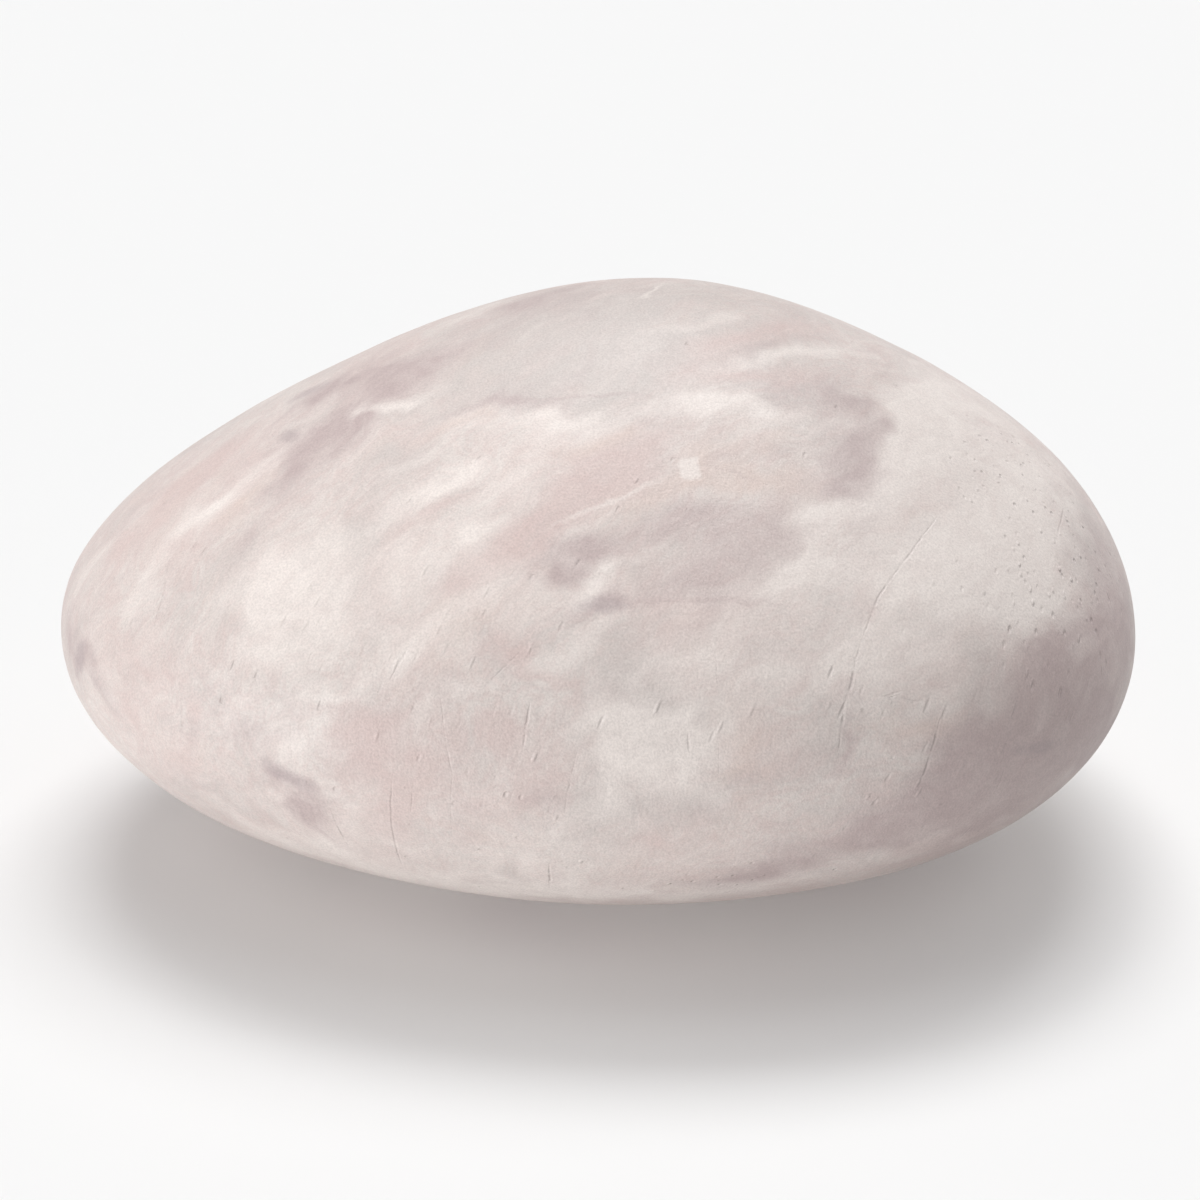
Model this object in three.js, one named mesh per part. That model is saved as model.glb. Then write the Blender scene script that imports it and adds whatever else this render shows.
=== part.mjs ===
// River pebble: one water-worn stone, lying on a small flat that wear has left on its belly.
// Millimetres, +Z up. X runs along the stone's length and Y across it.
// The origin is under the middle of the stone, on the surface that it lies on.
import * as THREE from "three";
import { mergeVertices } from "three/addons/utils/BufferGeometryUtils.js";

// The girdle is the stone's widest line. The dome is above it, and the belly below it.
const LENGTH = 60;
const WIDTH = 46.8; // across the middle of the girdle
const DOME_HEIGHT = 15.6; // from the girdle to the top of the plain dome, without the crest
const BELLY_DEPTH = 13.2; // from the girdle to the lowest point, before the flat was worn
const FLAT_DEPTH = 0.5; // worn off the lowest point, which leaves a flat about 16 by 14 mm
const WIDEST_OFFSET = 0.6; // the widest section stands this far to +X of the middle

// The crest is a low swelling on the dome that gives the stone its off-centre peak.
const CREST = { height: 3.2, x: 6.6, y: 2, spreadX: 14.5, spreadY: 12.5 };

// Shares by which wear has turned a plain ellipsoid into this stone.
const BLUNT_END = 0.09; // the +X end is broader in plan than the -X end
const SQUARE_PLAN = 0.14; // both ends are fuller in plan than an ellipse
const FULL_END = 0.05; // the +X end is thicker than the -X end
const LEAN_DOME = 0.08; // the dome's flanks are leaner than an ellipsoid, and the belly's fuller
const FULL_SHOULDER = 0.1; // the dome's +X shoulder is fuller, and its -X flank straighter

const EDGE_SPLITS = 20; // equal steps along each edge of the starting icosahedron

// The point of the stone's surface that a point (u, v, w) of the unit sphere becomes.
function wornPoint(u, v, w) {
  const x = (LENGTH / 2) * u + WIDEST_OFFSET * (1 - u * u);
  const y = (WIDTH / 2) * v * (1 + BLUNT_END * u + SQUARE_PLAN * u * u);

  const rise = (DOME_HEIGHT + BELLY_DEPTH) / 2 + ((DOME_HEIGHT - BELLY_DEPTH) / 2) * w;
  const leanness = LEAN_DOME * w - FULL_END * u - FULL_SHOULDER * u * w;
  const offCrestX = (x - CREST.x) / CREST.spreadX;
  const offCrestY = (y - CREST.y) / CREST.spreadY;
  const swelling = CREST.height * Math.exp(-(offCrestX ** 2 + offCrestY ** 2) / 2);
  const z = w * rise * (1 - leanness * (1 - w * w)) + swelling * Math.max(w, 0) ** 2;

  const flatLevel = FLAT_DEPTH - BELLY_DEPTH;
  return new THREE.Vector3(x, y, Math.max(z, flatLevel) - flatLevel);
}

// A sphere of even triangles, with each corner moved to its place on the stone.
function pebbleGeometry() {
  const geometry = new THREE.IcosahedronGeometry(1, EDGE_SPLITS - 1);
  const corners = geometry.getAttribute("position");
  for (let i = 0; i < corners.count; i++) {
    const { x, y, z } = wornPoint(corners.getX(i), corners.getY(i), corners.getZ(i));
    corners.setXYZ(i, x, y, z);
  }
  geometry.deleteAttribute("normal");
  geometry.deleteAttribute("uv");
  const joined = mergeVertices(geometry);
  joined.computeVertexNormals();
  return joined;
}

const pinkMarble = new THREE.MeshStandardMaterial({ color: 0xe3d8d5, roughness: 0.5, metalness: 0 });
const pebble = new THREE.Mesh(pebbleGeometry(), pinkMarble);
pebble.name = "pebble";

const riverPebble = new THREE.Group();
riverPebble.add(pebble);

export default riverPebble;
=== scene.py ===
import math
import random

import bmesh
import bpy
import numpy as np
from mathutils import Matrix, Vector, noise
from mathutils.bvhtree import BVHTree


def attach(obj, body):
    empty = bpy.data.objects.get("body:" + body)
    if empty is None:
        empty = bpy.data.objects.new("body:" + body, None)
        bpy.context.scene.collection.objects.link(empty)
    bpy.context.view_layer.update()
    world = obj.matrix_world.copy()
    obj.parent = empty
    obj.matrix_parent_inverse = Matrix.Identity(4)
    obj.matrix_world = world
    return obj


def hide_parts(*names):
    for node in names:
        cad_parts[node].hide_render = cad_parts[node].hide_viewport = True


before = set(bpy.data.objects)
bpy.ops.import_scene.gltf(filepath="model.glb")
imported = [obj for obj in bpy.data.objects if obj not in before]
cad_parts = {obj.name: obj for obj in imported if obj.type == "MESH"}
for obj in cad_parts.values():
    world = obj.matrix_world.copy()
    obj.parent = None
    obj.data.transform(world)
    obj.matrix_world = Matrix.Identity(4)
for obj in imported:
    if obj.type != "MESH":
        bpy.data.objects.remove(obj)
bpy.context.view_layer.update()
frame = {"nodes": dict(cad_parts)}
scene = bpy.context.scene
mm = 0.001
print("frame loaded:", ", ".join(frame["nodes"]))


# The camera stands where the stone's outline in the photo puts it. Lengths in mm, angles in degrees.
cameraValues = {
    "imageSize": 1200,
    "fieldOfView": 26.0,
    "sensor": 36.0,
    "elevation": 22.0,
    "distance": 147.0,
    "aim": (0.15, 0.0, 13.28),
    "clipStart": 5.0,
}


def buildCamera(values):
    data = bpy.data.cameras.new("camera")
    data.sensor_width = values["sensor"]
    data.lens = values["sensor"] / 2 / math.tan(math.radians(values["fieldOfView"]) / 2)
    data.clip_start = values["clipStart"] * mm
    made = bpy.data.objects.new("camera", data)
    scene.collection.objects.link(made)
    rise = math.radians(values["elevation"])
    forward = Vector((0, math.cos(rise), -math.sin(rise)))
    made.location = Vector(values["aim"]) * mm - forward * values["distance"] * mm
    made.rotation_euler = forward.to_track_quat("-Z", "Y").to_euler()
    scene.camera = made
    return made


# direction from the camera through a pixel of the photo
def pixelRay(px, py):
    half = cameraValues["imageSize"] / 2
    spread = math.tan(math.radians(cameraValues["fieldOfView"]) / 2) / half
    local = Vector(((px - half) * spread, (half - py) * spread, -1))
    return (camera.rotation_euler.to_matrix() @ local).normalized()


camera = buildCamera(cameraValues)
print("camera placed")


# The stone's surface: the CAD facets smoothed, then worn into low swells. Lengths in mm.
surfaceValues = {
    "joinWithin": 0.001,  # corners of the CAD facets this close are one point
    "smoothingSteps": 2,
    "swells": [(14.0, 0.14), (5.5, 0.05), (2.2, 0.014)],  # wavelength and height
    "footFade": 1.5,  # the swells die out over this height above the floor
    "seed": 11,
    "swellShift": (1.0, 3.7, -1.9),  # between one swell's noise and the next
}


def smoothedCopy(source, values):
    shell = bmesh.new()
    shell.from_mesh(source.data)
    bmesh.ops.remove_doubles(shell, verts=shell.verts, dist=values["joinWithin"] * mm)
    coarse = bpy.data.meshes.new("stone_coarse")
    shell.to_mesh(coarse)
    shell.free()
    holder = bpy.data.objects.new("stone_coarse", coarse)
    scene.collection.objects.link(holder)
    rounding = holder.modifiers.new("rounding", "SUBSURF")
    rounding.levels = values["smoothingSteps"]
    rounding.render_levels = values["smoothingSteps"]
    ready = holder.evaluated_get(bpy.context.evaluated_depsgraph_get())
    mesh = bpy.data.meshes.new_from_object(ready)
    bpy.data.objects.remove(holder)
    bpy.data.meshes.remove(coarse)
    mesh.name = "river_stone"
    return mesh


def vertexArray(mesh, field):
    values = np.empty(len(mesh.vertices) * 3)
    mesh.vertices.foreach_get(field, values)
    return values.reshape(-1, 3)


def wearSurface(mesh, values):
    places = vertexArray(mesh, "co")
    normals = vertexArray(mesh, "normal")
    rise = np.zeros(len(places))
    for step, (wavelength, height) in enumerate(values["swells"]):
        shift = Vector((values["seed"], 0, 0)) + Vector(values["swellShift"]) * step
        scale = 1 / (wavelength * mm)
        rise += height * mm * np.array([noise.noise(Vector(p) * scale + shift) for p in places])
    foot = np.clip(places[:, 2] / (values["footFade"] * mm), 0, 1)
    places += normals * (rise * foot * foot * (3 - 2 * foot))[:, None]
    mesh.vertices.foreach_set("co", places.ravel())
    mesh.update()


def buildStone(values):
    mesh = smoothedCopy(frame["nodes"]["pebble"], values)
    wearSurface(mesh, values)
    mesh.polygons.foreach_set("use_smooth", [True] * len(mesh.polygons))
    made = bpy.data.objects.new("river_stone", mesh)
    scene.collection.objects.link(made)
    return made


stone = buildStone(surfaceValues)
stoneTree = BVHTree.FromObject(stone, bpy.context.evaluated_depsgraph_get())
triangleCount = sum(len(p.vertices) - 2 for p in stone.data.polygons)
print("stone surface:", len(stone.data.vertices), "points,", triangleCount, "triangles")


# the point and normal of the stone's surface that shows at a pixel
def surfaceAt(px, py):
    place, normal, index, distance = stoneTree.ray_cast(camera.location, pixelRay(px, py))
    return place, normal


# A mark's own axes at a pixel: its centre, and the matrix that turns a step from there
# into shares of the mark's half sizes.
def markFrame(px, py, halfLong, halfWide, turn):
    centre, normal = surfaceAt(px, py)
    lean = math.radians(turn)
    steps = [
        (halfLong * math.cos(lean), -halfLong * math.sin(lean)),
        (-halfWide * math.sin(lean), -halfWide * math.cos(lean)),
    ]
    axes = []
    for dx, dy in steps:
        near, nearNormal = surfaceAt(px + dx, py + dy)
        if near is None:
            near, nearNormal = surfaceAt(px - dx, py - dy)
        axes.append(near - centre)
    axes.append(normal * max(axes[0].length, axes[1].length))
    return centre, Matrix(axes).transposed().inverted()


# Soft regions of each tone, and of flecks, as they lie in the photo:
# pixel x and y, half length and half width in pixels, turn in degrees, strength.
# Some grey, mauve and white regions below are painted shade and painted light, as marked.
toneRegions = {
    "grey": [
        (575, 352, 80, 36, 6, 1.0),
        (600, 318, 150, 30, 0, 0.8),
        (660, 370, 60, 20, 0, 0.6),
        (530, 385, 50, 14, 6, 0.6),
        (655, 742, 58, 46, -8, 0.9),
        (640, 812, 70, 16, 0, 0.8),
        (355, 530, 60, 26, 26, 0.6),
        (395, 455, 30, 16, 24, 0.8),
        (645, 570, 34, 18, 8, 0.9),
        (232, 570, 16, 40, -28, 0.9),
        (245, 800, 42, 20, -20, 0.4),
        (600, 850, 90, 22, 0, 0.5),
        (820, 740, 16, 46, 0, 0.7),
        (975, 655, 22, 34, 10, 0.7),
        (620, 660, 40, 26, 0, 0.6),
        (410, 400, 46, 12, 16, 0.8),
        (940, 420, 50, 30, -35, 0.15),
        (1000, 800, 60, 10, 26, 0.6),
        # Painted shade: grey down the right end, where the stone turns from the light.
        (1092, 540, 24, 80, 6, 0.7),
    ],
    "pink": [
        (620, 474, 60, 22, 24, 1.25),
        (590, 452, 46, 14, 22, 0.9),
        (560, 505, 60, 14, 36, 1.1),
        (505, 545, 54, 18, 42, 1.0),
        (470, 590, 34, 20, 60, 0.8),
        (524, 610, 40, 34, 20, 0.6),
        (372, 722, 34, 16, 10, 1.1),
        (380, 762, 34, 26, -10, 1.1),
        (395, 815, 22, 40, -10, 0.7),
        (537, 668, 40, 9, -44, 1.1),
        (430, 770, 36, 24, 0, 0.35),
        (215, 462, 70, 9, 37, 1.1),
        (240, 478, 44, 7, 34, 0.8),
        (160, 508, 56, 9, 46, 0.9),
        (762, 330, 70, 9, 12, 1.1),
        (745, 372, 58, 9, -4, 1.1),
        (150, 655, 46, 26, -10, 0.9),
        (120, 690, 30, 14, -30, 0.7),
        (345, 845, 60, 10, -18, 0.9),
        (250, 700, 90, 9, -4, 0.5),
        (330, 612, 56, 16, 24, 0.45),
        (700, 616, 50, 13, 2, 0.9),
        (757, 756, 22, 50, 0, 0.5),
        (950, 845, 80, 14, 18, 0.9),
        (660, 846, 16, 10, 0, 0.8),
        (525, 784, 40, 14, -16, 0.6),
        (1100, 650, 22, 36, 0, 0.9),
        (820, 672, 26, 12, 20, 0.6),
        (900, 512, 60, 9, -6, 0.6),
        (445, 505, 60, 12, 30, 0.7),
        (475, 462, 60, 9, 26, 0.5),
        (880, 575, 26, 36, 20, 0.5),
        (180, 560, 20, 40, -30, 0.5),
        (1010, 430, 50, 24, -44, 0.4),
    ],
    "peach": [
        (740, 476, 54, 20, -6, 1.4),
        (660, 492, 50, 10, 16, 0.5),
        (600, 436, 44, 10, 14, 0.8),
        (455, 425, 40, 9, 10, 0.6),
        (235, 500, 44, 16, 34, 0.6),
        (770, 440, 36, 12, -6, 0.7),
        (450, 640, 26, 44, -10, 0.6),
        (757, 750, 26, 50, 0, 0.6),
        (900, 722, 54, 18, 6, 0.6),
        (950, 520, 60, 9, -8, 0.5),
    ],
    "mauve": [
        (860, 466, 26, 34, 4, 1.7),
        (853, 430, 26, 24, 0, 0.7),
        (842, 396, 56, 10, -6, 0.6),
        (800, 384, 50, 8, -6, 0.5),
        (568, 558, 36, 17, 8, 1.5),
        (545, 556, 24, 9, 10, 0.8),
        (752, 550, 50, 30, 4, 0.60),
        (785, 540, 26, 36, 0, 0.5),
        (684, 532, 40, 16, 10, 0.7),
        (706, 594, 44, 16, -4, 0.6),
        (425, 364, 50, 14, 20, 1.2),
        (385, 372, 40, 12, 22, 0.8),
        (330, 388, 40, 6, 27, 1.1),
        (322, 430, 40, 16, 22, 1.2),
        (346, 426, 20, 18, 10, 0.9),
        (290, 472, 30, 13, 40, 1.1),
        (545, 300, 60, 7, 12, 1.0),
        # The mauve at the right end and along the lower right is partly the stone's own tone and partly
        # painted shade, where that side turns from the light.
        (1074, 650, 40, 34, 30, 1.2),
        (1085, 700, 26, 40, 20, 0.9),
        (1096, 740, 34, 50, 20, 1.1),
        (1030, 800, 90, 30, 30, 0.6),
        (960, 840, 90, 20, 18, 0.4),
        (965, 752, 40, 30, 40, 1.1),
        (1000, 790, 66, 22, 30, 1.3),
        (1030, 752, 50, 36, 30, 1.3),
        (985, 780, 60, 36, 30, 0.9),
        (270, 738, 60, 22, -10, 0.5),
        (915, 805, 56, 20, 16, 1.0),
        (890, 840, 40, 14, 16, 0.7),
        (765, 872, 42, 12, 12, 1.4),
        (880, 830, 70, 22, 16, 0.7),
        # Painted shade down the right end.
        (1117, 600, 20, 90, 4, 1.0),
        (716, 888, 30, 7, 6, 0.8),
        (318, 824, 36, 13, -34, 1.3),
        (290, 808, 24, 10, -20, 0.8),
        (286, 775, 26, 8, -30, 1.1),
        (80, 662, 8, 34, 20, 1.2),
        (842, 730, 9, 40, 4, 0.9),
        (848, 575, 10, 20, -10, 0.8),
        (606, 606, 30, 8, 0, 1.1),
        (250, 535, 10, 18, -20, 0.8),
        (525, 795, 40, 9, -14, 0.6),
        (510, 402, 40, 6, 8, 0.9),
        (760, 345, 40, 5, 8, 0.4),
    ],
    "white": [
        (285, 622, 40, 36, 30, 1.2),
        (255, 590, 20, 44, -24, 0.9),
        (330, 566, 70, 34, 28, 0.9),
        (556, 417, 50, 12, 6, 1.2),
        (510, 470, 70, 12, 40, 0.9),
        (762, 412, 50, 12, -4, 1.2),
        (700, 404, 40, 7, 4, 0.9),
        (995, 566, 54, 30, -14, 1.7),
        (1020, 590, 34, 14, -30, 0.9),
        (660, 745, 44, 34, -8, 1.2),
        (620, 800, 16, 30, 20, 0.7),
        (700, 785, 26, 20, 30, 0.8),
        (440, 480, 44, 8, 27, 1.3),
        (430, 452, 50, 6, 22, 0.7),
        (800, 582, 40, 16, 10, 1.1),
        (815, 545, 18, 34, -10, 0.9),
        (470, 540, 30, 9, 48, 0.9),
        (400, 397, 52, 6, 14, 1.1),
        (300, 735, 22, 26, 30, 1.0),
        (588, 586, 22, 9, 30, 1.3),
        (650, 555, 40, 7, 20, 0.7),
        (585, 634, 24, 9, 40, 0.9),
        (844, 506, 44, 10, 8, 0.9),
        (915, 430, 24, 50, -14, 1.0),
        (790, 352, 76, 5, -2, 1.1),
        (700, 318, 50, 5, 6, 0.7),
        (690, 655, 40, 22, 0, 0.8),
        (230, 490, 60, 6, 36, 1.0),
        (180, 535, 40, 9, 44, 0.9),
        (420, 650, 70, 12, 34, 0.8),
        (455, 700, 34, 9, 30, 0.8),
        (140, 600, 20, 40, -10, 0.6),
        (880, 620, 16, 50, -24, 0.7),
        (600, 700, 20, 40, 30, 0.5),
        (330, 695, 26, 6, -14, 0.9),
        (330, 790, 20, 5, -40, 0.8),
        # Painted light: broad soft pale regions from here on brighten the upper right and the middle of
        # the front, partly over pale patches of the stone's own.
        (1030, 480, 40, 50, -40, 0.8),
        (950, 520, 90, 60, -20, 0.45),
        (1040, 560, 30, 50, 0, 0.4),
        (890, 620, 60, 60, 0, 0.5),
        (985, 410, 50, 40, -40, 0.85),
        (930, 420, 40, 50, -30, 0.75),
        (524, 600, 50, 40, 30, 0.5),
        (790, 680, 70, 60, 0, 0.5),
        (640, 750, 60, 50, 0, 0.35),
        (1000, 530, 46, 70, -10, 0.4),
        (935, 650, 40, 30, 0, 0.4),
        (740, 610, 40, 30, 0, 0.3),
        # Painted light along the bottom edge, in place of light thrown up from the floor.
        (300, 846, 60, 12, -24, 0.8),
        (390, 874, 70, 12, -14, 1.0),
        (490, 888, 70, 11, -6, 1.1),
        (590, 895, 70, 10, 0, 1.1),
        (690, 892, 60, 10, 6, 0.7),
        (790, 880, 60, 8, 12, 0.5),
        (880, 858, 50, 8, 18, 0.35),
        (500, 856, 150, 26, -4, 0.55),
        # Painted light on the centre left, and on the middle of the front over its own pale patch.
        (400, 600, 70, 40, 30, 0.7),
        (655, 740, 60, 50, 0, 0.4),
    ],
    "flecked": [
        (370, 660, 70, 36, 30, 0.9),
        (480, 650, 70, 44, 35, 0.8),
        (300, 640, 60, 40, 30, 0.4),
        (540, 720, 40, 50, 0, 0.6),
        (150, 600, 50, 70, 0, 0.5),
        (232, 600, 30, 30, 0, 0.9),
        (500, 800, 100, 40, 0, 0.4),
        (716, 700, 14, 80, 0, 0.5),
        (880, 720, 60, 60, 0, 0.4),
        (960, 790, 50, 40, 30, 0.4),
        (1072, 560, 34, 110, 6, 2.0),
        (1050, 620, 30, 60, 0, 1.4),
        (1030, 580, 30, 40, 0, 1.0),
        (918, 698, 40, 12, 0, 1.8),
        (716, 882, 40, 10, 6, 1.8),
        (1000, 455, 34, 40, -40, 1.2),
        (880, 745, 50, 36, 0, 0.4),
    ],
}

# The back and underside, which the photo doesn't show, get the same kinds of mark at random places.
# Lengths in mm, and a range is its least and its most.
hiddenValues = {
    "seed": 5,
    "facing": -0.12,  # a place is hidden where it faces the camera by less than this
    "regions": 110,
    # a kind named twice comes up twice as often
    "tones": ["grey", "pink", "pink", "peach", "white", "white", "mauve", "mauve", "flecked"],
    "size": (2.0, 5.5),
    "stretch": (1.0, 2.6),
    "strength": (0.5, 1.1),
    "scratches": 26,
    "strides": 3,
    "stride": (1.2, 2.6),
    "depth": (0.012, 0.036),
}

regionFalloff = 0.8  # how fast a region thins out from its centre

# How far the regions' outlines are pulled about: wavelength and reach in mm. Then they are smeared
# along one direction, by a reach that changes slowly along it and quickly across it.
regionWarps = [(6.0, 0.9), (2.4, 0.7), (1.1, 0.25)]
smear = {"lean": (0.75, 0.60, 0.30), "along": 5.0, "across": 1.1, "reach": 1.9, "seed": 6}

# Single marks with a firm edge: pixel x and y, half length and half width in pixels, turn, squareness.
blots = {
    "dark": [
        (604, 604, 21, 8, 0, 2),
        (287, 776, 26, 7, -26, 2),
        (1037, 748, 20, 6, 12, 2),
        (79, 658, 5, 17, -10, 2),
        (290, 436, 9, 6, 10, 2),
        (310, 391, 20, 3, 26, 2),
    ],
    "pale": [(690, 469, 11, 11, 8, 6)],
    "rosy": [(496, 731, 26, 22, -34, 2.2)],
}

# Lines: pixel points, and strength. A scratch's strength is its depth in mm.
lines = {
    "vein": [
        ([(542, 532), (600, 506), (642, 490), (676, 470)], 0.5),
        ([(966, 520), (1012, 548)], 0.7),
        ([(640, 300), (664, 284)], 0.7),
    ],
    "thread": [
        ([(622, 602), (700, 600), (790, 604)], 0.35),
        ([(486, 406), (560, 399), (620, 394), (660, 396)], 0.4),
        ([(700, 462), (740, 474), (770, 486)], 0.25),
    ],
    "hairline": [
        ([(441, 637), (440, 690), (452, 774), (455, 857)], 0.010),
        ([(371, 420), (411, 530)], 0.008),
        ([(715, 636), (719, 790)], 0.010),
        ([(414, 780), (411, 814)], 0.018),
        ([(294, 690), (292, 760)], 0.008),
    ],
    "scratch": [
        ([(943, 509), (878, 597), (855, 658)], 0.027),
        ([(860, 640), (850, 690), (845, 704), (837, 756)], 0.042),
        ([(941, 714), (918, 788)], 0.045),
        ([(1008, 757), (947, 848)], 0.035),
        ([(174, 543), (163, 596), (151, 643)], 0.026),
        ([(394, 766), (391, 800), (392, 824), (404, 868)], 0.028),
        ([(330, 806), (349, 846)], 0.034),
        ([(550, 860), (551, 890)], 0.040),
        ([(530, 702), (523, 750)], 0.036),
        ([(577, 752), (564, 812)], 0.022),
        ([(410, 645), (388, 684)], 0.028),
        ([(522, 650), (480, 692)], 0.020),
        ([(688, 734), (690, 754)], 0.040),
        ([(1064, 505), (1056, 540)], 0.030),
        ([(905, 690), (893, 694), (912, 702), (930, 700)], 0.034),
    ],
}
lineReach = 0.55  # mm to either side of a line that its fields cover
lineEndFade = 5.0  # the larger, the shorter a line's fading ends
farOff = 1.0  # metres, beyond any mark
farReach = 9.0  # half sizes, beyond any blot


def addRegion(field, places, centre, inverse, strength):
    shares = (places - np.array(centre)) @ np.array(inverse).T
    field += strength * np.exp(-(shares**2).sum(1) * regionFalloff)


def randomHiddenSpot(chance, hidden, places, normals):
    spot = hidden[chance.randrange(len(hidden))]
    normal = Vector(normals[spot])
    along = normal.orthogonal().normalized()
    along.rotate(Matrix.Rotation(chance.uniform(0, math.pi), 3, normal))
    return Vector(places[spot]), normal, along


def hiddenRegions(fields, places, normals, hidden, values):
    chance = random.Random(values["seed"])
    for step in range(values["regions"]):
        centre, normal, along = randomHiddenSpot(chance, hidden, places, normals)
        tone = chance.choice(values["tones"])
        size = chance.uniform(*values["size"]) * mm
        stretch = chance.uniform(*values["stretch"])
        axes = Matrix([along * size, normal.cross(along) * size / stretch, normal * size]).transposed()
        addRegion(fields[tone], places, centre, axes.inverted(), chance.uniform(*values["strength"]))


def hiddenScratches(places, normals, hidden, values):
    chance = random.Random(values["seed"] + 1)
    made = []
    for step in range(values["scratches"]):
        start, normal, along = randomHiddenSpot(chance, hidden, places, normals)
        points = [(start, normal)]
        stride = chance.uniform(*values["stride"]) * mm
        for bend in range(values["strides"]):
            place, bentNormal, index, gap = stoneTree.find_nearest(points[-1][0] + along * stride)
            points.append((place, bentNormal))
        made.append((points, chance.uniform(*values["depth"])))
    return made


# for each place, the signed distance in mm to the nearest line,
# and that line's strength, which fades at both ends
def lineFields(places, drawn):
    nearest = np.full(len(places), farOff)
    offsets = np.zeros(len(places))
    strengths = np.zeros(len(places))
    for points, strength in drawn:
        lengths = [(b[0] - a[0]).length for a, b in zip(points, points[1:])]
        before = 0.0
        for (start, startNormal), (end, endNormal), length in zip(points, points[1:], lengths):
            run = np.array(end - start)
            along = np.clip((places - np.array(start)) @ run / length**2, 0, 1)
            aside = places - np.array(start) - along[:, None] * run
            gap = np.linalg.norm(aside, axis=1)
            side = (end - start).cross(startNormal + endNormal).normalized()
            share = (before + along * length) / sum(lengths)
            closer = gap < nearest
            nearest[closer] = gap[closer]
            offsets[closer] = (aside @ np.array(side) / mm)[closer]
            fade = np.clip(lineEndFade * share * (1 - share), 0, 1)
            strengths[closer] = (strength * fade)[closer]
            before += length
    strengths[nearest > lineReach * mm] = 0
    return offsets, strengths


def storeField(name, values):
    layer = stone.data.attributes.new(name, "FLOAT", "POINT")
    layer.data.foreach_set("value", values.astype(np.float32))


# where each place's regions are read from, which makes their outlines ragged
def smeared(places):
    noise.seed_set(smear["seed"])
    pulled = places.copy()
    for wavelength, reach in regionWarps:
        scale = 1 / (wavelength * mm)
        pulled += reach * mm * np.array([noise.noise_vector(Vector(p) * scale) for p in places])
    lean = np.array(Vector(smear["lean"]).normalized())
    along = (places @ lean)[:, None] * lean
    spots = along / (smear["along"] * mm) + (places - along) / (smear["across"] * mm)
    slide = smear["reach"] * mm * np.array([noise.noise(Vector(p)) for p in spots])
    return pulled + slide[:, None] * lean


def paintMarkings():
    places = vertexArray(stone.data, "co")
    normals = vertexArray(stone.data, "normal")
    toCamera = np.array(camera.location) - places
    facing = (normals * toCamera).sum(1) / np.linalg.norm(toCamera, axis=1)
    hidden = np.flatnonzero(facing < hiddenValues["facing"])

    pulled = smeared(places)
    fields = {}
    for tone, regions in toneRegions.items():
        fields[tone] = np.zeros(len(places))
        for px, py, halfLong, halfWide, turn, strength in regions:
            centre, inverse = markFrame(px, py, halfLong, halfWide, turn)
            addRegion(fields[tone], pulled, centre, inverse, strength)
    hiddenRegions(fields, pulled, normals, hidden, hiddenValues)
    for tone, field in fields.items():
        storeField("tone_" + tone, field)

    for kind, marks in blots.items():
        reach = np.full(len(places), farReach)
        for px, py, halfLong, halfWide, turn, squareness in marks:
            centre, inverse = markFrame(px, py, halfLong, halfWide, turn)
            shares = np.abs((places - np.array(centre)) @ np.array(inverse).T)
            reach = np.minimum(reach, (shares**squareness).sum(1) ** (1 / squareness))
        storeField("reach_" + kind, reach)

    for kind, drawn in lines.items():
        placed = [([surfaceAt(*p) for p in points], strength) for points, strength in drawn]
        if kind == "scratch":
            placed += hiddenScratches(places, normals, hidden, hiddenValues)
        offsets, strengths = lineFields(places, placed)
        storeField(kind + "_offset", offsets)
        storeField(kind + "_strength", strengths)


paintMarkings()
placedCount = sum(len(regions) for regions in toneRegions.values())
print("markings painted:", placedCount, "regions placed,", hiddenValues["regions"], "hidden")


nodeGrid = {"across": 200, "down": 260, "perRow": 12}  # how the nodes are laid out in the editor


# a node with its settings and inputs, where an input is a value or another node's socket
def put(tree, kind, inputs=None, **settings):
    made = tree.nodes.new(kind)
    row, column = divmod(len(tree.nodes), nodeGrid["perRow"])
    made.location = (nodeGrid["across"] * column, -nodeGrid["down"] * row)
    for name, value in settings.items():
        setattr(made, name, value)
    for key, value in (inputs or {}).items():
        if isinstance(value, bpy.types.NodeSocket):
            tree.links.new(value, made.inputs[key])
        else:
            made.inputs[key].default_value = value
    return made


def maths(tree, operation, a, b=0.0, clamp=False):
    return put(tree, "ShaderNodeMath", {0: a, 1: b}, operation=operation, use_clamp=clamp).outputs[0]


def product(tree, a, b):
    return maths(tree, "MULTIPLY", a, b)


def vectorMaths(tree, operation, a, b):
    made = put(tree, "ShaderNodeVectorMath", {0: a, 1: b}, operation=operation)
    return made.outputs["Value"] if operation == "DOT_PRODUCT" else made.outputs["Vector"]


def scaled(tree, vector, factor):
    made = put(tree, "ShaderNodeVectorMath", {0: vector, "Scale": factor}, operation="SCALE")
    return made.outputs["Vector"]


# eased step from 0 at low to 1 at high, or the other way round where low is above high
def eased(tree, value, low, high):
    inputs = {"Value": value, "From Min": low, "From Max": high, "To Min": 0.0, "To Max": 1.0}
    return put(tree, "ShaderNodeMapRange", inputs, interpolation_type="SMOOTHSTEP").outputs["Result"]


# straight ramp from start at low to end at high
def ramped(tree, value, low, high, start, end):
    inputs = {"Value": value, "From Min": low, "From Max": high, "To Min": start, "To Max": end}
    return put(tree, "ShaderNodeMapRange", inputs).outputs["Result"]


def blended(tree, share, a, b):
    return put(tree, "ShaderNodeMix", {0: share, 6: a, 7: b}, data_type="RGBA").outputs[2]


def cloud(tree, vector, scale, finer, roughness):
    inputs = {"Vector": vector, "Scale": scale, "Detail": finer, "Roughness": roughness}
    return put(tree, "ShaderNodeTexNoise", inputs)


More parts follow.
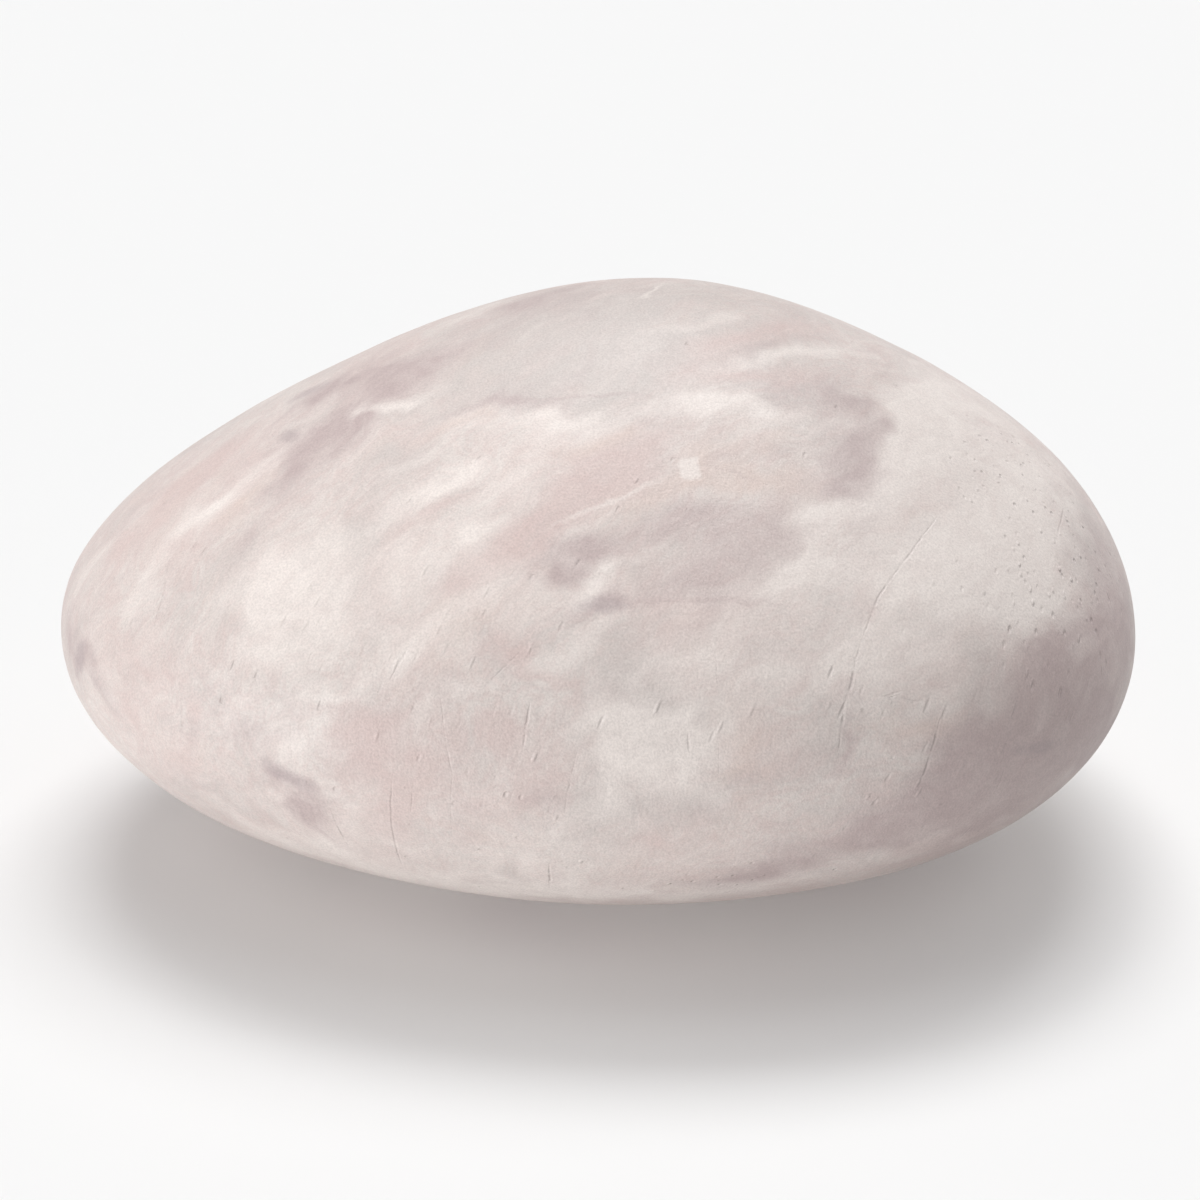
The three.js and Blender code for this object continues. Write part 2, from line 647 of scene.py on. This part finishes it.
def newGroup(name, inputs, outputs):
    tree = bpy.data.node_groups.new(name, "ShaderNodeTree")
    for label, kind in inputs.items():
        tree.interface.new_socket(name=label, in_out="INPUT", socket_type="NodeSocket" + kind)
    for label in outputs:
        tree.interface.new_socket(name=label, in_out="OUTPUT", socket_type="NodeSocketFloat")
    return tree, tree.nodes.new("NodeGroupInput").outputs, tree.nodes.new("NodeGroupOutput").inputs


edgeCloud = {"finer": 3.0, "roughness": 0.55, "pull": 1.7}  # what pulls the regions' edges about
noiseMiddle = 0.5  # the middle of a noise's range


# a region's mask: clouding pulls its edge about, and it is thinned as given
def buildCloudedMask():
    inputs = {"Vector": "Vector"}
    for label in ("Region", "Scale", "Low", "High", "Thinning"):
        inputs[label] = "Float"
    tree, given, result = newGroup("clouded_mask", inputs, ["Mask"])
    edge = cloud(tree, given["Vector"], given["Scale"], edgeCloud["finer"], edgeCloud["roughness"])
    edge = product(tree, maths(tree, "SUBTRACT", edge.outputs["Fac"], noiseMiddle), edgeCloud["pull"])
    level = maths(tree, "ADD", given["Region"], edge)
    cover = ramped(tree, level, given["Low"], given["High"], 0.0, 1.0)
    tree.links.new(product(tree, cover, given["Thinning"]), result["Mask"])
    return tree


# a line from its signed distance: its strength along its middle, and 0 beyond its width
def buildLineMark():
    inputs = {label: "Float" for label in ("Offset", "Strength", "Wobble", "Width", "Widening")}
    tree, given, result = newGroup("line_mark", inputs, ["Mask"])
    wobbled = maths(tree, "ABSOLUTE", maths(tree, "ADD", given["Offset"], given["Wobble"]))
    width = maths(tree, "ADD", given["Width"], product(tree, given["Strength"], given["Widening"]))
    mask = eased(tree, wobbled, width, 0.0)
    tree.links.new(product(tree, mask, given["Strength"]), result["Mask"])
    return tree


# a mark with a firm edge, from its reach: 1 inside, 0 outside
def buildBlot():
    inputs = {"Reach": "Float", "Wobble": "Float", "Softness": "Float"}
    tree, given, result = newGroup("blot", inputs, ["Mask"])
    reach = maths(tree, "ADD", given["Reach"], given["Wobble"])
    inner = maths(tree, "SUBTRACT", 1.0, given["Softness"])
    outer = maths(tree, "ADD", 1.0, given["Softness"])
    tree.links.new(eased(tree, reach, outer, inner), result["Mask"])
    return tree


# scattered small marks: in a share of the cells, one mark, raised or sunk
def buildFlecks():
    inputs = {"Vector": "Vector", "Scale": "Float", "Share": "Float", "Size": "Float"}
    tree, given, result = newGroup("flecks", inputs, ["Lift"])
    cells = put(tree, "ShaderNodeTexVoronoi", {"Vector": given["Vector"], "Scale": given["Scale"]})
    chance = put(tree, "ShaderNodeSeparateColor", {0: cells.outputs["Color"]}).outputs
    chosen = maths(tree, "LESS_THAN", chance[0], given["Share"])
    mask = product(tree, eased(tree, cells.outputs["Distance"], given["Size"], 0.0), chosen)
    lift = ramped(tree, chance[1], 0.0, 1.0, -1.0, 1.0)
    tree.links.new(product(tree, mask, lift), result["Lift"])
    return tree


groups = {
    "cloudedMask": buildCloudedMask(),
    "lineMark": buildLineMark(),
    "blot": buildBlot(),
    "flecks": buildFlecks(),
}
print("shared node groups:", ", ".join(groups))


def useGroup(tree, name, inputs):
    return put(tree, "ShaderNodeGroup", inputs, node_tree=groups[name])


# Colours are linear.
stoneColours = {
    "base": (0.713, 0.643, 0.610),
    "grey": (0.612, 0.553, 0.527),
    "pink": (0.665, 0.537, 0.510),
    "peach": (0.705, 0.586, 0.540),
    "white": (0.844, 0.770, 0.730),
    "mauve": (0.530, 0.431, 0.421),
    "dark": (0.420, 0.345, 0.352),
    "scratch": (0.430, 0.366, 0.350),
}

# How far each tone's regions cover the base, features of their clouding per mm,
# and the levels between which they set in.
tones = {
    "grey": (0.90, 0.34, 0.10, 0.90),
    "pink": (1.00, 0.36, 0.10, 1.05),
    "peach": (0.90, 0.42, 0.12, 0.90),
    "mauve": (1.00, 0.42, 0.10, 1.20),
    "white": (0.95, 0.52, 0.10, 1.15),
}

# Clouding over the whole stone: tone, features per mm, finer steps, low and high level,
# amount, and whether streaked.
layers = [
    ("pink", 0.13, 4, 0.36, 0.68, 0.52, False),
    ("grey", 0.21, 4, 0.42, 0.66, 0.60, False),
    ("mauve", 0.30, 4, 0.48, 0.78, 0.34, True),
    ("white", 0.42, 4, 0.48, 0.70, 0.34, True),
    ("pink", 0.90, 2, 0.46, 0.72, 0.42, True),
    ("white", 1.50, 2, 0.48, 0.70, 0.24, True),
    ("mauve", 2.20, 2, 0.50, 0.74, 0.16, True),
    ("pink", 3.40, 1, 0.42, 0.68, 0.34, True),
]

layerRoughness = 0.52
layerShift = Vector((17.0, -9.0, 23.0))  # mm between one layer's clouding and the next
toneShift = Vector((13.0, -7.0, 5.0))  # and between one tone's and the next

# Streaked clouding is drawn out along this direction.
streaks = {"lean": (0.75, 0.60, 0.30), "stretch": 0.42}

# Other noises: features per mm, finer steps, roughness.
noises = {
    "drift": (0.16, 2.0, 0.6),
    "wobble": (1.1, 2.0, 0.6),
    "thinning": (1.2, 2.0, 0.55),
    "grain": (9.0, 1.0, 0.5),
    "tooth": (2.8, 2.0, 0.55),
}
driftReach = 5.0  # mm that the clouding is pulled about
thinning = {"low": 0.36, "high": 0.60, "least": 0.76}  # noise levels, and the least cover of a region

# Blots: colour, how far the edge wobbles, its softness, and how far it covers what is below.
blotLooks = {
    "dark": ("dark", 1.4, 0.6, 0.50),
    "rosy": ("pink", 0.9, 0.35, 0.65),
    "pale": ("white", 0.6, 0.20, 0.80),
}

# Lines: wobble and width in mm, and how much wider a stronger line is.
paintedLines = {"wobble": 0.9, "width": 0.20, "widening": 0.1}
cutLines = {"wobble": 0.16, "width": 0.05, "widening": 1.8}
cutBreaks = {"low": -0.10, "high": 0.06, "least": 0.25}  # wobble levels between which a cut sets in
cutDarkening = 3.5

# Fine relief: heights in mm, and how far the grain lightens and darkens the colour.
reliefValues = {
    "grainHeight": 0.014,
    "speckle": 0.19,
    "toothHeight": 0.024,
    "lean": (0.10, 0.30, 0.90),  # the tooth is drawn out along this direction
    "stretch": 0.50,
}

# Short strokes and pits in the surface: direction and how far they are drawn out along it, marks per mm,
# the share of places that get one, size, and height in mm. Share and height grow in the flecked regions.
fleckValues = {
    "lean": (0.38, 0.40, 0.75),
    "stretch": 0.24,
    "scale": 2.5,
    "share": 0.03,
    "shareThere": 0.75,
    "size": 0.36,
    "height": 0.065,
    "heightThere": 0.120,
    "deepening": (0.5, 2.0),  # region strengths between which the height grows
}

finish = {"roughness": 0.36, "roughnessSpread": 0.2, "specular": 0.4}


def attribute(tree, name):
    return put(tree, "ShaderNodeAttribute", attribute_name=name).outputs["Fac"]


def colourOf(name):
    return (*stoneColours[name], 1.0)


# coordinates squeezed along one direction, so that what is drawn with them is drawn out that way
def drawnOut(tree, place, direction, stretch):
    lead = Vector(direction).normalized()
    side = lead.orthogonal().normalized()
    axes = [lead * stretch, side, lead.cross(side)]
    made = put(tree, "ShaderNodeCombineXYZ")
    for step, axis in enumerate(axes):
        tree.links.new(vectorMaths(tree, "DOT_PRODUCT", place, axis), made.inputs[step])
    return made.outputs["Vector"]


def placedLine(tree, kind, wobble, look):
    inputs = {
        "Offset": attribute(tree, kind + "_offset"),
        "Strength": attribute(tree, kind + "_strength"),
        "Wobble": product(tree, wobble, look["wobble"]),
        "Width": look["width"],
        "Widening": look["widening"],
    }
    return useGroup(tree, "lineMark", inputs).outputs["Mask"]


def buildStoneMaterial():
    material = bpy.data.materials.new("mottled_stone")
    material.use_nodes = True
    tree = material.node_tree
    shader = tree.nodes["Principled BSDF"]
    place = scaled(tree, put(tree, "ShaderNodeTexCoord").outputs["Object"], 1 / mm)
    drift = cloud(tree, place, *noises["drift"]).outputs["Color"]
    drift = scaled(tree, vectorMaths(tree, "SUBTRACT", drift, (noiseMiddle,) * 3), driftReach)
    warped = vectorMaths(tree, "ADD", place, drift)
    wobble = maths(tree, "SUBTRACT", cloud(tree, place, *noises["wobble"]).outputs["Fac"], noiseMiddle)

    # clouding over the whole stone
    streaked = drawnOut(tree, warped, streaks["lean"], streaks["stretch"])
    colour = colourOf("base")
    for step, (tone, scale, finer, low, high, amount, isStreaked) in enumerate(layers):
        origin = streaked if isStreaked else warped
        shifted = vectorMaths(tree, "ADD", origin, layerShift * step)
        level = cloud(tree, shifted, scale, finer, layerRoughness).outputs["Fac"]
        share = product(tree, eased(tree, level, low, high), amount)
        colour = blended(tree, share, colour, colourOf(tone))

    # the regions
    thinned = cloud(tree, streaked, *noises["thinning"]).outputs["Fac"]
    thinned = ramped(tree, thinned, thinning["low"], thinning["high"], thinning["least"], 1.0)
    for step, (tone, (amount, scale, low, high)) in enumerate(tones.items()):
        inputs = {
            "Vector": vectorMaths(tree, "ADD", streaked, toneShift * step),
            "Region": attribute(tree, "tone_" + tone),
            "Scale": scale,
            "Low": low,
            "High": high,
            "Thinning": thinned,
        }
        mask = useGroup(tree, "cloudedMask", inputs).outputs["Mask"]
        colour = blended(tree, product(tree, mask, amount), colour, colourOf(tone))

    # single marks, veins and threads
    for kind, (tone, shake, softness, amount) in blotLooks.items():
        inputs = {
            "Reach": attribute(tree, "reach_" + kind),
            "Wobble": product(tree, wobble, shake),
            "Softness": softness,
        }
        mask = useGroup(tree, "blot", inputs).outputs["Mask"]
        colour = blended(tree, product(tree, mask, amount), colour, colourOf(tone))
    for kind, tone in [("thread", "mauve"), ("vein", "white")]:
        colour = blended(tree, placedLine(tree, kind, wobble, paintedLines), colour, colourOf(tone))

    # scratches and hairlines, broken here and there, darken the stone a little and cut into it
    cuts = placedLine(tree, "scratch", wobble, cutLines)
    cuts = maths(tree, "ADD", cuts, placedLine(tree, "hairline", wobble, cutLines))
    broken = ramped(tree, wobble, cutBreaks["low"], cutBreaks["high"], cutBreaks["least"], 1.0)
    cuts = product(tree, cuts, broken)
    darkening = maths(tree, "MULTIPLY", cuts, cutDarkening, clamp=True)
    colour = blended(tree, darkening, colour, colourOf("scratch"))

    # grain, tooth and flecks
    grain = cloud(tree, place, *noises["grain"]).outputs["Fac"]
    speckle = ramped(tree, grain, 0.0, 1.0, 1 - reliefValues["speckle"], 1 + reliefValues["speckle"])
    brushed = drawnOut(tree, place, reliefValues["lean"], reliefValues["stretch"])
    tooth = cloud(tree, brushed, *noises["tooth"]).outputs["Fac"]
    height = product(tree, grain, reliefValues["grainHeight"])
    height = maths(tree, "ADD", height, product(tree, tooth, reliefValues["toothHeight"]))
    height = maths(tree, "SUBTRACT", height, cuts)
    flecked = attribute(tree, "tone_flecked")
    inputs = {
        "Vector": drawnOut(tree, place, fleckValues["lean"], fleckValues["stretch"]),
        "Scale": fleckValues["scale"],
        "Share": ramped(tree, flecked, 0.0, 1.0, fleckValues["share"], fleckValues["shareThere"]),
        "Size": fleckValues["size"],
    }
    lift = useGroup(tree, "flecks", inputs).outputs["Lift"]
    heights = (fleckValues["height"], fleckValues["heightThere"])
    depth = ramped(tree, flecked, *fleckValues["deepening"], *heights)
    height = maths(tree, "ADD", height, product(tree, lift, depth))
    colour = scaled(tree, colour, speckle)
    bump = put(tree, "ShaderNodeBump", {"Height": height, "Distance": mm})
    tree.links.new(bump.outputs["Normal"], shader.inputs["Normal"])
    tree.links.new(colour, shader.inputs["Base Color"])
    gloss = maths(tree, "ADD", product(tree, tooth, finish["roughnessSpread"]), finish["roughness"])
    tree.links.new(gloss, shader.inputs["Roughness"])
    shader.inputs["Specular IOR Level"].default_value = finish["specular"]
    return material


stone.data.materials.append(buildStoneMaterial())
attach(stone, "root")
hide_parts("pebble")
print("stone material made")


# A plain pale floor, wide enough to fill the view. It looks paler than the light that it throws back.
floorValues = {"size": 6.0, "shade": 0.868, "thrownBack": 0.62, "roughness": 1.0, "specular": 0.0}


def buildFloor(values):
    mesh = bpy.data.meshes.new("floor")
    half = values["size"] / 2
    corners = [(-half, -half, 0), (half, -half, 0), (half, half, 0), (-half, half, 0)]
    mesh.from_pydata(corners, [], [(0, 1, 2, 3)])
    made = bpy.data.objects.new("floor", mesh)
    scene.collection.objects.link(made)
    material = bpy.data.materials.new("pale_floor")
    material.use_nodes = True
    tree = material.node_tree
    shader = tree.nodes["Principled BSDF"]
    seen = put(tree, "ShaderNodeLightPath").outputs["Is Camera Ray"]
    shades = [(*[values[key]] * 3, 1.0) for key in ("thrownBack", "shade")]
    tree.links.new(blended(tree, seen, *shades), shader.inputs["Base Color"])
    shader.inputs["Roughness"].default_value = values["roughness"]
    shader.inputs["Specular IOR Level"].default_value = values["specular"]
    mesh.materials.append(material)
    return made


buildFloor(floorValues)
print("floor laid")


# Soft lights: where each comes from (azimuth 0 is +X and 90 is behind the stone), how wide it is,
# its strength, and whether it casts a shadow.
lights = {
    "above": {"elevation": 84, "azimuth": 90, "width": 36, "strength": 0.50, "shadow": True},
    "behind": {"elevation": 65, "azimuth": 107, "width": 20, "strength": 0.76, "shadow": True},
    "behindRight": {"elevation": 62, "azimuth": 67, "width": 24, "strength": 0.71, "shadow": True},
    "left": {"elevation": 2, "azimuth": 214, "width": 40, "strength": 2.00, "shadow": False},
    "right": {"elevation": 48, "azimuth": 10, "width": 40, "strength": 0.45, "shadow": False},
    "bounce": {"elevation": -55, "azimuth": 232, "width": 40, "strength": 0.34, "shadow": False},
    "backRight": {"elevation": 12, "azimuth": 60, "width": 40, "strength": 0.16, "shadow": False},
}
# The surround is brighter in reflections, as a studio's white walls are.
surround = {"colour": (1.0, 1.0, 1.0), "strength": 0.33, "mirrored": 0.41}


def buildLight(name, values):
    data = bpy.data.lights.new(name, "SUN")
    data.energy = values["strength"]
    data.angle = math.radians(values["width"])
    data.use_shadow = values["shadow"]
    made = bpy.data.objects.new(name, data)
    scene.collection.objects.link(made)
    rise = math.radians(values["elevation"])
    swing = math.radians(values["azimuth"])
    level = math.cos(rise)
    source = Vector((level * math.cos(swing), level * math.sin(swing), math.sin(rise)))
    made.rotation_euler = (-source).to_track_quat("-Z", "Y").to_euler()


for name, values in lights.items():
    buildLight(name, values)
scene.world = bpy.data.worlds.new("surround")
scene.world.use_nodes = True
backdrop = scene.world.node_tree.nodes["Background"]
backdrop.inputs["Color"].default_value = (*surround["colour"], 1.0)
mirrored = put(scene.world.node_tree, "ShaderNodeLightPath").outputs["Is Glossy Ray"]
shine = ramped(scene.world.node_tree, mirrored, 0.0, 1.0, surround["strength"], surround["mirrored"])
scene.world.node_tree.links.new(shine, backdrop.inputs["Strength"])
scene.view_settings.view_transform = "Standard"
print("lights set:", ", ".join(lights))
